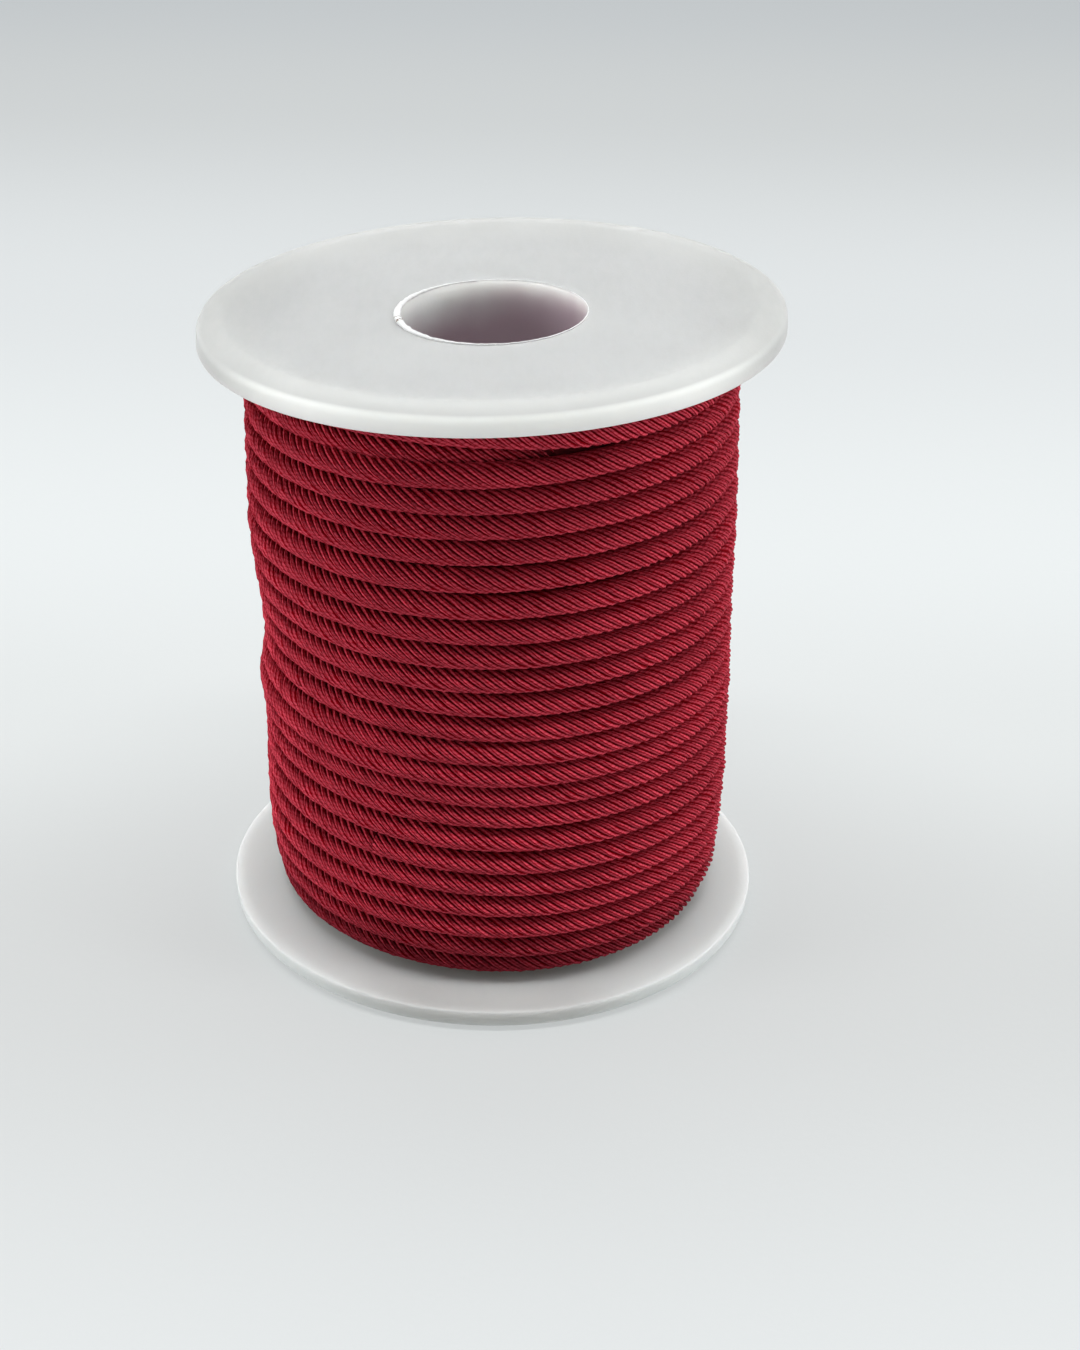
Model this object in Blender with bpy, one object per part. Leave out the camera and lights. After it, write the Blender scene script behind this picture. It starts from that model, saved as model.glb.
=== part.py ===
"""A red twisted cord wound on a white plastic spool, standing on its lower flange.

Two solids: the spool, which is one moulding of two dished flanges on a hollow
barrel, and the cord, which is one ring of wound turns between the flanges.
The front of the spool faces -Y. Heights are taken from the lower flange's
inner face, and the upper flange leans and tilts a little on the barrel.
"""

import math

import bmesh
import bpy

MM = 0.001

# Spool sizes in millimetres
FLANGE_RADIUS = 33.5
INNER_GAP = 72.7
BORE_RADIUS = 10.9
BARREL_RADIUS = 12.4
WEB_THICKNESS = 1.5
WEB_RADIUS = 25.0
LIP_HEIGHT = 2.8
LIP_INNER_RADIUS = 28.6
LIP_INNER_HEIGHT = 2.3
CREST_INNER_RADIUS = 29.6
CREST_OUTER_RADIUS = 30.6
SHOULDER_LAND = 0.5
SHOULDER_STEPS = 5
SPOOL_SEGMENTS = 72

# The upper flange against the lower one: sideways shift in millimetres, and slopes
LEAN_X = -0.92
LEAN_Y = -0.95
TILT_X = 0.041
TILT_Y = 0.0366

# Cord sizes in millimetres
CORD_RADIUS = 1.5
GROOVE_DEPTH = 0.95
CLEARANCE = 0.3
TOP_RADIUS = 28.5
POINTS_A_TURN = 4
QUARTER_TURNS = 95
BOTTOM_PHASE = 0.75
WINDING_SEGMENTS = 48

# Outside radius of the winding: height, radius at the left, radius at the right
WINDING_RADII = (
    (0.3, 27.3, 28.5),
    (10.1, 28.6, 29.3),
    (16.8, 28.5, 29.6),
    (25.1, 28.3, 29.5),
    (30.2, 28.8, 29.5),
    (35.8, 27.9, 29.3),
    (41.2, 28.2, 29.2),
    (50.3, 29.1, 29.2),
    (61.6, 28.8, 28.8),
    (72.4, TOP_RADIUS, TOP_RADIUS),
)

# How the turns climb to the right: share of the winding's height, slope
TURN_SLOPES = (
    (0.0, 0.0),
    (0.27, 0.0),
    (0.58, 0.05),
    (0.88, 0.095),
    (1.0, TILT_X),
)

SPOOL_COLOUR = (0.79, 0.79, 0.80, 1.0)
SPOOL_ROUGHNESS = 0.35
CORD_COLOUR = (0.30, 0.014, 0.028, 1.0)
CORD_ROUGHNESS = 0.8
SHARP_ANGLE = math.radians(38.0)


def clear_scene():
    """Start from an empty scene."""
    for item in list(bpy.data.objects):
        bpy.data.objects.remove(item, do_unlink=True)


def plain_material(name, colour, roughness):
    """A Principled BSDF material of one colour."""
    material = bpy.data.materials.new(name)
    material.use_nodes = True
    shader = material.node_tree.nodes["Principled BSDF"]
    shader.inputs["Base Color"].default_value = colour
    shader.inputs["Roughness"].default_value = roughness
    shader.inputs["Metallic"].default_value = 0.0
    return material


def mesh_object(name, bm, material, parent):
    """Turn a bmesh into a smooth-shaded object under its parent."""
    bmesh.ops.recalc_face_normals(bm, faces=bm.faces)
    mesh = bpy.data.meshes.new(name)
    bm.to_mesh(mesh)
    bm.free()
    mesh.shade_smooth()
    mesh.set_sharp_from_angle(angle=SHARP_ANGLE)
    mesh.materials.append(material)
    item = bpy.data.objects.new(name, mesh)
    item.parent = parent
    bpy.context.scene.collection.objects.link(item)
    return item


def between(table, place, column):
    """Read one column of a table by its first column, which rises."""
    place = min(max(place, table[0][0]), table[-1][0])
    for low, high in zip(table, table[1:]):
        if place <= high[0]:
            break
    share = (place - low[0]) / (high[0] - low[0])
    return low[column] + share * (high[column] - low[column])


def height_share(height):
    """0 at and under the lower inner face, 1 at and over the upper one."""
    return min(max(height / INNER_GAP, 0.0), 1.0)


def axis_at(height):
    """Where the leaning axis of the spool passes at a height above the inner face."""
    lean = height_share(height) - 0.5
    return LEAN_X * lean, LEAN_Y * lean


def world(x, y, height):
    """Metres, with the floor under the lower rim as zero height."""
    return x * MM, y * MM, (LIP_HEIGHT + height) * MM


def flange_side():
    """Half a section of a flange: radius and rise from its inner face, bore to edge."""
    points = [
        (BORE_RADIUS, WEB_THICKNESS),
        (WEB_RADIUS, WEB_THICKNESS),
        (LIP_INNER_RADIUS, LIP_INNER_HEIGHT),
        (CREST_INNER_RADIUS, LIP_HEIGHT),
    ]
    reach = FLANGE_RADIUS - CREST_OUTER_RADIUS
    drop = LIP_HEIGHT - SHOULDER_LAND
    for step in range(SHOULDER_STEPS + 1):
        angle = 0.5 * math.pi * step / SHOULDER_STEPS
        radius = CREST_OUTER_RADIUS + reach * math.sin(angle)
        points.append((radius, SHOULDER_LAND + drop * math.cos(angle)))
    points.append((FLANGE_RADIUS, 0.0))
    points.append((BARREL_RADIUS, 0.0))
    return points


def spool_section():
    """The closed section of the spool: radius and height, up the barrel and down the bore."""
    side = flange_side()
    lower = [(radius, -rise) for radius, rise in side]
    upper = [(radius, INNER_GAP + rise) for radius, rise in reversed(side)]
    return lower + upper


def build_spool(material, parent):
    """Turn the section round the leaning axis, each point tilted with its height."""
    bm = bmesh.new()
    rings = []
    for radius, height in spool_section():
        centre_x, centre_y = axis_at(height)
        share = height_share(height)
        ring = []
        for step in range(SPOOL_SEGMENTS):
            angle = 2.0 * math.pi * step / SPOOL_SEGMENTS
            x = radius * math.cos(angle)
            y = radius * math.sin(angle)
            rise = share * (TILT_X * x + TILT_Y * y)
            ring.append(bm.verts.new(world(centre_x + x, centre_y + y, height + rise)))
        rings.append(ring)
    for ring, following in zip(rings, rings[1:] + rings[:1]):
        for step in range(SPOOL_SEGMENTS):
            beside = (step + 1) % SPOOL_SEGMENTS
            bm.faces.new((ring[step], ring[beside], following[beside], following[step]))
    return mesh_object("spool", bm, material, parent)


def groove(phase):
    """How far the wound surface lies inside a turn's crest, phase 0 and 1 in the grooves."""
    reach = 1.0 - (1.0 - GROOVE_DEPTH / CORD_RADIUS) ** 2
    across = 2.0 * (phase % 1.0) - 1.0
    return CORD_RADIUS * (1.0 - math.sqrt(1.0 - reach * across * across))


def winding_point(angle, height, phase, top):
    """A point of the wound surface. Angle 0 is the front, and it grows to the right."""
    left = between(WINDING_RADII, height, 1)
    right = between(WINDING_RADII, height, 2)
    radius = 0.5 * (left + right) + 0.5 * (right - left) * math.sin(angle) - groove(phase)
    x = radius * math.sin(angle)
    y = -radius * math.cos(angle)
    share = (height - CLEARANCE) / (top - CLEARANCE)
    rise = between(TURN_SLOPES, share, 1) * x + share * TILT_Y * (y + TOP_RADIUS)
    centre_x, centre_y = axis_at(height)
    return world(centre_x + x, centre_y + y, height + rise)


def inner_point(angle, radius, height, share):
    """A point of the winding's inner wall, on the plane of its flat end."""
    x = radius * math.sin(angle)
    y = -radius * math.cos(angle)
    centre_x, centre_y = axis_at(height)
    rise = share * (TILT_X * x + TILT_Y * y)
    return world(centre_x + x, centre_y + y, height + rise)


def build_winding(material, parent):
    """One ring of turns that fall to the right, cut flat along both flanges.

    Rows of points follow the turns, a quarter of a turn's width apart. A row is
    lowered by one turn each time round, so rows beyond a flat end are held on it.
    Heights are those at the front, where the tilted upper end is lowest.
    """
    bm = bmesh.new()
    flat_top = INNER_GAP - CLEARANCE
    top = flat_top - TILT_Y * TOP_RADIUS
    pitch = POINTS_A_TURN * (top - CLEARANCE) / QUARTER_TURNS
    last_row = QUARTER_TURNS + POINTS_A_TURN
    points = {}

    def point(column, row):
        if column == WINDING_SEGMENTS:
            column, row = 0, row - POINTS_A_TURN
        fall = POINTS_A_TURN * column / WINDING_SEGMENTS
        climb = min(max(row - fall, 0.0), QUARTER_TURNS)
        key = (column, round(climb * WINDING_SEGMENTS))
        if key not in points:
            angle = 2.0 * math.pi * column / WINDING_SEGMENTS
            height = CLEARANCE + pitch * climb / POINTS_A_TURN
            phase = BOTTOM_PHASE + (fall + climb) / POINTS_A_TURN
            points[key] = bm.verts.new(winding_point(angle, height, phase, top))
        return points[key]

    for column in range(WINDING_SEGMENTS):
        for row in range(last_row):
            corners = (
                point(column, row),
                point(column + 1, row),
                point(column + 1, row + 1),
                point(column, row + 1),
            )
            distinct = list(dict.fromkeys(corners))
            if len(distinct) > 2:
                bm.faces.new(distinct)

    inner_radius = (BARREL_RADIUS + CLEARANCE) / math.cos(math.pi / WINDING_SEGMENTS)
    low_ring = []
    high_ring = []
    for column in range(WINDING_SEGMENTS):
        angle = 2.0 * math.pi * column / WINDING_SEGMENTS
        low_ring.append(bm.verts.new(inner_point(angle, inner_radius, CLEARANCE, 0.0)))
        high_ring.append(bm.verts.new(inner_point(angle, inner_radius, flat_top, 1.0)))
    for column in range(WINDING_SEGMENTS):
        beside = (column + 1) % WINDING_SEGMENTS
        bm.faces.new((low_ring[column], low_ring[beside], high_ring[beside], high_ring[column]))
        rim = (point(column, 0), point(column + 1, 0))
        bm.faces.new((rim[1], rim[0], low_ring[column], low_ring[beside]))
        rim = (point(column, last_row), point(column + 1, last_row + POINTS_A_TURN))
        bm.faces.new((rim[0], rim[1], high_ring[beside], high_ring[column]))
    return mesh_object("cord_winding", bm, material, parent)


def main():
    """Build the spool and the cord wound on it."""
    clear_scene()
    stand = bpy.data.objects.new("spool_of_cord", None)
    bpy.context.scene.collection.objects.link(stand)
    white_plastic = plain_material("white_plastic", SPOOL_COLOUR, SPOOL_ROUGHNESS)
    red_cord = plain_material("red_cord", CORD_COLOUR, CORD_ROUGHNESS)
    build_spool(white_plastic, stand)
    build_winding(red_cord, stand)


main()
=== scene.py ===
"""Looks of a red twisted cord wound on a white plastic spool.

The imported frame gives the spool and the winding. This script lays the real
twisted cord in the winding's place, gives the spool its fine moulded form and
burr, and sets the materials, the pale studio, the lights and the camera.
"""

import math

import bpy
import numpy as np
from mathutils import Matrix, Vector


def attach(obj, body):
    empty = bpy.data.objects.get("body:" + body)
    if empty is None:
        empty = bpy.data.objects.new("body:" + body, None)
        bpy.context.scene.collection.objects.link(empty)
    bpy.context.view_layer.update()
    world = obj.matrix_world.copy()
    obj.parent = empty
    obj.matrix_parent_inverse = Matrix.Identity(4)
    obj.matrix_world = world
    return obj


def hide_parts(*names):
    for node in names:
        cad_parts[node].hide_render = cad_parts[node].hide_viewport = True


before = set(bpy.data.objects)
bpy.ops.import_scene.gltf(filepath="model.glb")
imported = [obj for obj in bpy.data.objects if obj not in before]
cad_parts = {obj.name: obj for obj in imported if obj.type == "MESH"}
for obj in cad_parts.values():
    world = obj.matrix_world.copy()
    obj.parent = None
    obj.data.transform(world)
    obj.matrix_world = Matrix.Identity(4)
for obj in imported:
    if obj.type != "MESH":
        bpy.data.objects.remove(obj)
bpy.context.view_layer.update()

MM = 0.001
FULL_TURN = 360.0

# Spool sizes in millimetres, as in the part's source
FLANGE_RADIUS = 33.5
INNER_GAP = 72.7
BORE_RADIUS = 10.9
BARREL_RADIUS = 12.4
WEB_THICKNESS = 1.5
LIP_HEIGHT = 2.8
MOUTH_ROUND = 0.25
EDGE_ROUND = 0.15
SPOOL_SEGMENTS = 240

# How far the middle of a small rounded corner lies from its sides, as a share of its
# radius, and the same for the barrel's shallow fillet
ROUND_MIDDLE = 0.3
FILLET_MIDDLE = 0.25

# Rings on the straight stretches of the section: radii on the web and on the inner
# face, shares of the gap up the barrel and down the bore, and the barrel's fillet
WEB_RINGS = (12.2, 18.0)
INNER_FACE_RINGS = (32.0, 29.0, 24.0, 18.0)
BARREL_RINGS = (0.25, 0.5, 0.75)
BORE_RINGS = (0.98, 0.9, 0.75, 0.5, 0.25, 0.1, 0.02)
BARREL_FILLET = 0.8

# The flange section in curves, from the flat web over the lip to its wall:
# radius and rise of the start, of the bending point and of the end, and steps
FLANGE_CURVES = (
    (22.0, WEB_THICKNESS, 26.6, WEB_THICKNESS, 29.9, 2.60, 12),
    (29.9, 2.60, 30.8, 2.90, 31.8, 2.72, 8),
    (31.8, 2.72, 32.4, 2.61, 32.95, 2.28, 5),
    (32.95, 2.28, 33.4, 2.01, 33.44, 1.30, 8),
    (33.44, 1.30, 33.47, 0.80, FLANGE_RADIUS, 0.40, 2),
)

# The upper flange against the lower one: sideways shift in millimetres, and slopes
LEAN_X = -0.92
LEAN_Y = -0.95
TILT_X = 0.041
TILT_Y = 0.0366

# The cut burr round the bore's upper end: half widths in millimetres of its thinnest
# part and of what the front, the left and a loose flake add, and its unevenness
BURR_SEGMENTS = 360
BURR_SIDES = 8
BURR_THIN = 0.03
BURR_FRONT = 0.06
BURR_LEFT = 0.36
BURR_FLAKE = 0.10
BURR_LEAST = 0.02
BURR_UNEVEN = 0.05
BURR_UNEVEN_LENGTHS = (180.0, 72.0, 51.4, 24.0)
BURR_FINE = 0.08
BURR_FINE_LENGTHS = (15.0, 9.0, 6.0)

# The burr's least unevenness against that at the left, its height against its width,
# how far it stands out of the bore's wall and into the bore, and how far it is raised
BURR_EVEN_SHARE = 0.3
BURR_FLATNESS = 0.6
BURR_OUTWARD = 0.04
BURR_INWARD_SHARE = 0.25
BURR_RAISED_SHARE = 0.3

# The flake's place round the bore and its spread, in degrees
FLAKE_ANGLE = 103.0
FLAKE_SPREAD = 3.0

# Cord and winding sizes in millimetres
CORD_RADIUS = 1.5
CLEARANCE = 0.3
TOP_RADIUS = 28.5
TURNS_UP = 23.75
FRONT_TOP = INNER_GAP - CLEARANCE - TILT_Y * TOP_RADIUS
PITCH = (FRONT_TOP - CLEARANCE) / TURNS_UP

# Outside radius of the winding: height, radius at the left, radius at the right
WINDING_RADII = np.array((
    (0.3, 27.3, 28.5),
    (10.1, 28.6, 29.3),
    (16.8, 28.5, 29.6),
    (25.1, 28.3, 29.5),
    (30.2, 28.8, 29.5),
    (35.8, 27.9, 29.3),
    (41.2, 28.2, 29.2),
    (50.3, 29.1, 29.2),
    (61.6, 28.8, 28.8),
    (72.4, TOP_RADIUS, TOP_RADIUS),
))

# How the turns climb to the right: share of the winding's height, slope
TURN_SLOPES = np.array((
    (0.0, 0.0),
    (0.27, 0.005),
    (0.58, 0.038),
    (0.90, 0.075),
    (1.0, 0.075),
))

# Where the turns lie a little off an even spacing: height, shift
TURN_SHIFTS = np.array((
    (1.6, 0.0),
    (4.7, -0.38),
    (7.7, -0.50),
    (10.7, -0.35),
    (16.0, -0.40),
    (23.0, -0.12),
    (27.0, -0.30),
    (31.5, -0.85),
    (35.0, -1.00),
    (39.5, -0.68),
    (45.3, -0.70),
    (51.5, -0.38),
    (56.0, -0.08),
    (66.0, -0.45),
))

# The second turn from the top slips under the first: angle from the front to
# the right, distance in pitches between the turns above and below it
TOP_SPREADS = np.array((
    (-180.0, 2.0),
    (-90.0, 1.98),
    (-60.0, 1.90),
    (-40.0, 1.80),
    (-20.0, 1.74),
    (0.0, 1.52),
    (9.0, 1.37),
    (15.0, 1.28),
    (23.0, 1.15),
    (36.0, 1.04),
    (60.0, 1.0),
    (110.0, 1.0),
    (180.0, 2.0),
))

# The path of the outer layer, in degrees turned from the top turn's front
PATH_START = -140.0
DIVE_START = -95.0
SECOND_TURN = 180.0
THIRD_TURN = 540.0
PATH_END = 8700.0
SMOOTH_REACH = 5

# How deep the path's start dives inside, how deep its foot sinks in and from which
# height, and the gap that it keeps to the flanges, in millimetres
DIVE_DEPTH = 3.2
FOOT_SINK = 0.9
FOOT_HEIGHT = 3.6
FLANGE_GAP = 0.05

# How far the second turn goes in and down where the turns beside it close on it
TUCK_SINK = 0.5
TUCK_DROP = 0.28

# How far the path wanders in and out, and up and down, over which lengths in degrees
SINK_WANDER = 0.07
SINK_LENGTHS = (97.0, 143.0, 211.0, 388.0)
RISE_WANDER = 0.05
RISE_LENGTHS = (83.0, 131.0, 257.0)

# Twist of the cord
PLIES = 9
POINTS_A_PLY = 8
PLY_DEPTH = 0.46
PLY_ROUNDNESS = 0.97
LAY = 10.5
RING_STEP = 0.8
CORD_PIECES = 4

# How the twist (radians), each ply and the whole cord (share) vary, over which lengths
TWIST_WANDER = 0.35
TWIST_LENGTHS = (61.0, 97.0, 173.0, 311.0)
PLY_SWELL = 0.06
PLY_SWELL_LENGTHS = (2.9, 5.0, 8.3)
PLY_SWELL_OFFSET = 37.0
CORD_SWELL = 0.012
CORD_SWELL_LENGTHS = (23.0, 41.0, 79.0)

# The share of half a ply that is its back, and the part of the cord's upper side
# that is darkened with painted shade under the turn above, as sines of the angle above the
# middle
SHOULDER = 0.75
PAINTED_TURN_SHADE_FROM = 0.42
PAINTED_TURN_SHADE_FULL = 0.68

# The layer under the outer one
UNDER_SEGMENTS = 160
UNDER_POINTS_A_TURN = 6
UNDER_DEPTH = 2.6
UNDER_GROOVE = 0.85

SEED = 11


def column_at(table, places, column):
    """Read one column of a table at places along its first column."""
    return np.interp(places, table[:, 0], table[:, column])


def waves(places, lengths, seed):
    """A smooth wandering value of about -1 to 1, from sine waves of some lengths."""
    random = np.random.default_rng(seed)
    total = np.zeros_like(places)
    for length in lengths:
        total += np.sin(2.0 * np.pi * places / length + random.uniform(0.0, 2.0 * np.pi))
    return total / len(lengths)


def smoothstep(values):
    """Ease from 0 to 1."""
    eased = np.clip(values, 0.0, 1.0)
    return eased * eased * (3.0 - 2.0 * eased)


def height_share(heights):
    """0 at and under the lower inner face, 1 at and over the upper one."""
    return np.clip(heights / INNER_GAP, 0.0, 1.0)


def lean_at(heights):
    """Where the leaning axis of the spool passes at heights above the inner face."""
    lean = height_share(heights) - 0.5
    return LEAN_X * lean, LEAN_Y * lean


def tilt_at(x, y):
    """How far the upper flange rises at places on it."""
    return TILT_X * x + TILT_Y * y


def to_world(x, y, heights):
    """Metres, with the floor under the lower rim as zero height."""
    return np.stack((x, y, heights + LIP_HEIGHT), axis=-1) * MM


# Meshes


def quad_mesh(name, points, quads, caps=()):
    """An object of many smooth quads and a few flat end faces, from arrays of indices."""
    loops = np.concatenate([quads.ravel(), *caps]).astype(np.int32)
    sizes = [4] * len(quads) + [len(cap) for cap in caps]
    starts = np.concatenate(([0], np.cumsum(sizes)[:-1])).astype(np.int32)
    mesh = bpy.data.meshes.new(name)
    mesh.vertices.add(len(points))
    mesh.vertices.foreach_set("co", np.asarray(points, np.float32).ravel())
    mesh.loops.add(len(loops))
    mesh.loops.foreach_set("vertex_index", loops)
    mesh.polygons.add(len(starts))
    mesh.polygons.foreach_set("loop_start", starts)
    mesh.update(calc_edges=True)
    mesh.polygons.foreach_set("use_smooth", np.arange(len(starts)) < len(quads))
    mesh.validate()
    piece = bpy.data.objects.new(name, mesh)
    bpy.context.scene.collection.objects.link(piece)
    return piece


def ring_quads(rows, columns, close_rows=False):
    """Quads between rings of points, each ring closed on itself."""
    row = np.arange(rows if close_rows else rows - 1)[:, None]
    column = np.arange(columns)[None, :]
    beside = (column + 1) % columns
    following = (row + 1) % rows
    corners = (
        row * columns + column,
        following * columns + column,
        following * columns + beside,
        row * columns + beside,
    )
    return np.stack(corners, axis=-1).reshape(-1, 4)


# Spool


def curve_points(row):
    """Points along one row of the table of curves, without its first point."""
    start_radius, start_rise, bend_radius, bend_rise, end_radius, end_rise, steps = row
    points = []
    for step in range(1, steps + 1):
        share = step / steps
        before = (1.0 - share) ** 2
        bend = 2.0 * share * (1.0 - share)
        after = share ** 2
        points.append((
            before * start_radius + bend * bend_radius + after * end_radius,
            before * start_rise + bend * bend_rise + after * end_rise,
        ))
    return points


def flange_side():
    """Half a section of a flange: radius and rise from its inner face, bore to edge."""
    points = [
        (BORE_RADIUS, WEB_THICKNESS - MOUTH_ROUND),
        (BORE_RADIUS + ROUND_MIDDLE * MOUTH_ROUND, WEB_THICKNESS - ROUND_MIDDLE * MOUTH_ROUND),
        (BORE_RADIUS + MOUTH_ROUND, WEB_THICKNESS),
    ]
    points += [(radius, WEB_THICKNESS) for radius in WEB_RINGS]
    points.append(FLANGE_CURVES[0][:2])
    for row in FLANGE_CURVES:
        points += curve_points(row)
    for share in (0.0, 0.5, 1.0):
        angle = 0.5 * math.pi * share
        radius = FLANGE_RADIUS - EDGE_ROUND * (1.0 - math.cos(angle))
        points.append((radius, EDGE_ROUND * (1.0 - math.sin(angle))))
    for radius in (*INNER_FACE_RINGS, BARREL_RADIUS + BARREL_FILLET):
        points.append((radius, 0.0))
    return points


def spool_section():
    """The closed section of the spool: radius and height, up the barrel and down the bore."""
    side = flange_side()
    lower = [(radius, -rise) for radius, rise in side]
    upper = [(radius, INNER_GAP + rise) for radius, rise in reversed(side)]
    hollow = FILLET_MIDDLE * BARREL_FILLET
    fillet = [(BARREL_RADIUS + hollow, hollow), (BARREL_RADIUS, BARREL_FILLET)]
    barrel = [(BARREL_RADIUS, INNER_GAP * share) for share in BARREL_RINGS]
    fillet_up = [(radius, INNER_GAP - height) for radius, height in reversed(fillet)]
    bore = [(BORE_RADIUS, INNER_GAP * share) for share in BORE_RINGS]
    return lower + fillet + barrel + fillet_up + upper + bore


def build_spool():
    """The moulded spool: its section turned finely round the leaning axis."""
    section = np.array(spool_section())
    radii = section[:, 0][:, None]
    heights = section[:, 1][:, None]
    angles = np.linspace(0.0, 2.0 * np.pi, SPOOL_SEGMENTS, endpoint=False)[None, :]
    x = radii * np.cos(angles)
    y = radii * np.sin(angles)
    centre_x, centre_y = lean_at(heights)
    rise = height_share(heights) * tilt_at(x, y)
    points = to_world(centre_x + x, centre_y + y, heights + rise).reshape(-1, 3)
    quads = ring_quads(len(section), SPOOL_SEGMENTS, close_rows=True)
    return quad_mesh("spool_body", points, quads)


def build_burr():
    """The knife-cut burr standing round the upper end of the bore, thick at the left."""
    angles = np.linspace(0.0, 2.0 * np.pi, BURR_SEGMENTS, endpoint=False)
    degrees = np.degrees(angles)
    left = (0.5 - 0.5 * np.cos(angles)) ** 4
    front = 0.5 - 0.5 * np.sin(angles)
    uneven = waves(degrees, BURR_UNEVEN_LENGTHS, SEED)
    fine = waves(degrees, BURR_FINE_LENGTHS, SEED + 1)
    flake = np.exp(-((degrees - FLAKE_ANGLE) / FLAKE_SPREAD) ** 2)
    half_width = BURR_THIN + BURR_FRONT * front + BURR_LEFT * left + BURR_FLAKE * flake
    roughness = BURR_EVEN_SHARE + (1.0 - BURR_EVEN_SHARE) * left
    half_width += roughness * (BURR_UNEVEN * uneven + BURR_FINE * fine)
    half_width = np.clip(half_width, BURR_LEAST, None)[:, None]
    half_height = BURR_FLATNESS * half_width + BURR_THIN
    around = np.linspace(0.0, 2.0 * np.pi, BURR_SIDES, endpoint=False)[None, :]
    middle = BORE_RADIUS + BURR_OUTWARD - BURR_INWARD_SHARE * half_width
    ring = middle + half_width * np.cos(around)
    base = INNER_GAP + WEB_THICKNESS + BURR_RAISED_SHARE * half_height
    level = base + half_height * np.sin(around)
    x = ring * np.cos(angles)[:, None]
    y = ring * np.sin(angles)[:, None]
    heights = level + tilt_at(x, y)
    points = to_world(0.5 * LEAN_X + x, 0.5 * LEAN_Y + y, heights).reshape(-1, 3)
    quads = ring_quads(BURR_SEGMENTS, BURR_SIDES, close_rows=True)[:, ::-1]
    return quad_mesh("bore_burr", points, quads)


# Cord


def crest_radius(heights, angles):
    """Outside radius of the winding at front heights and at angles from the front."""
    left = column_at(WINDING_RADII, heights, 1)
    right = column_at(WINDING_RADII, heights, 2)
    return 0.5 * (left + right) + 0.5 * (right - left) * np.sin(angles)


def wound_centre(turned, front_heights, sinks):
    """Centre points of the cord, in millimetres, from its turning, front height and sink."""
    angles = np.radians(turned)
    radii = crest_radius(front_heights, angles) - CORD_RADIUS
    share = np.clip((front_heights - CLEARANCE) / (FRONT_TOP - CLEARANCE), 0.0, 1.0)
    x = radii * np.sin(angles)
    y = -radii * np.cos(angles)
    rise = column_at(TURN_SLOPES, share, 1) * x + share * TILT_Y * (y + TOP_RADIUS)
    shift = column_at(TURN_SHIFTS, front_heights, 1)
    sunk = (radii - sinks) / radii
    return x * sunk, y * sunk, front_heights + rise + shift


def even_height(turned):
    """Front height of evenly laid turns."""
    return CLEARANCE + PITCH * (TURNS_UP - turned / FULL_TURN)


def cord_path():
    """The centre line of the whole outer layer, from the top start to the bottom end."""
    turned = np.arange(PATH_START, PATH_END, 1.0)
    first = turned < SECOND_TURN
    second = (turned >= SECOND_TURN) & (turned < THIRD_TURN)
    angle = (turned + 180.0) % FULL_TURN - 180.0
    spread = column_at(TOP_SPREADS, np.where(turned < -180.0, -180.0, angle), 1)

    support = turned + 2.0 * FULL_TURN * first + FULL_TURN * second
    front = even_height(support)
    lowest = CORD_RADIUS + FLANGE_GAP
    under = np.clip(lowest - front, 0.0, PITCH)
    front = np.maximum(front, lowest)

    sinks = DIVE_DEPTH * smoothstep((DIVE_START - turned) / (DIVE_START - PATH_START))
    tucked = second * PITCH * np.sqrt(np.clip(1.0 - (0.5 * spread) ** 2, 0.0, 1.0))
    sinks += TUCK_SINK * tucked ** 2
    sinks += np.sqrt(PITCH ** 2 - (PITCH - under) ** 2)
    sinks += FOOT_SINK * smoothstep((FOOT_HEIGHT - front) / (FOOT_HEIGHT - lowest))
    sinks += SINK_WANDER * waves(turned, SINK_LENGTHS, SEED + 2)

    x, y, heights = wound_centre(turned, front, sinks)
    heights = heights + PITCH * spread * (first + 0.5 * second) - TUCK_DROP * tucked
    heights += RISE_WANDER * waves(turned, RISE_LENGTHS, SEED + 3)
    ceiling = INNER_GAP + tilt_at(x, y) - CORD_RADIUS - FLANGE_GAP
    heights = np.minimum(heights, ceiling)
    centre_x, centre_y = lean_at(heights)
    path = np.stack((centre_x + x, centre_y + y, heights), axis=-1)
    return smoothed(path, SMOOTH_REACH)


def moving_average(values, reach):
    """The mean over a few values each way, with both ends held."""
    kernel = np.ones(2 * reach + 1) / (2 * reach + 1)
    padded = np.concatenate((values[:1].repeat(reach), values, values[-1:].repeat(reach)))
    return np.convolve(padded, kernel, "valid")


def smoothed(path, reach):
    """Soften kinks, and put back the radius that an average over an arc takes away."""
    softened = np.stack([moving_average(column, reach) for column in path.T], axis=-1)
    wide = moving_average(np.hypot(path[:, 0], path[:, 1]), reach)
    now = np.hypot(softened[:, 0], softened[:, 1])
    softened[:, :2] *= (wide / now)[:, None]
    return softened


def resampled(path, step):
    """Points a fixed step apart along a path."""
    steps = np.linalg.norm(np.diff(path, axis=0), axis=1)
    lengths = np.concatenate(([0.0], np.cumsum(steps)))
    places = np.linspace(0.0, lengths[-1], int(round(lengths[-1] / step)) + 1)
    points = np.stack([np.interp(places, lengths, path[:, axis]) for axis in range(3)], axis=-1)
    return places, points


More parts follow.
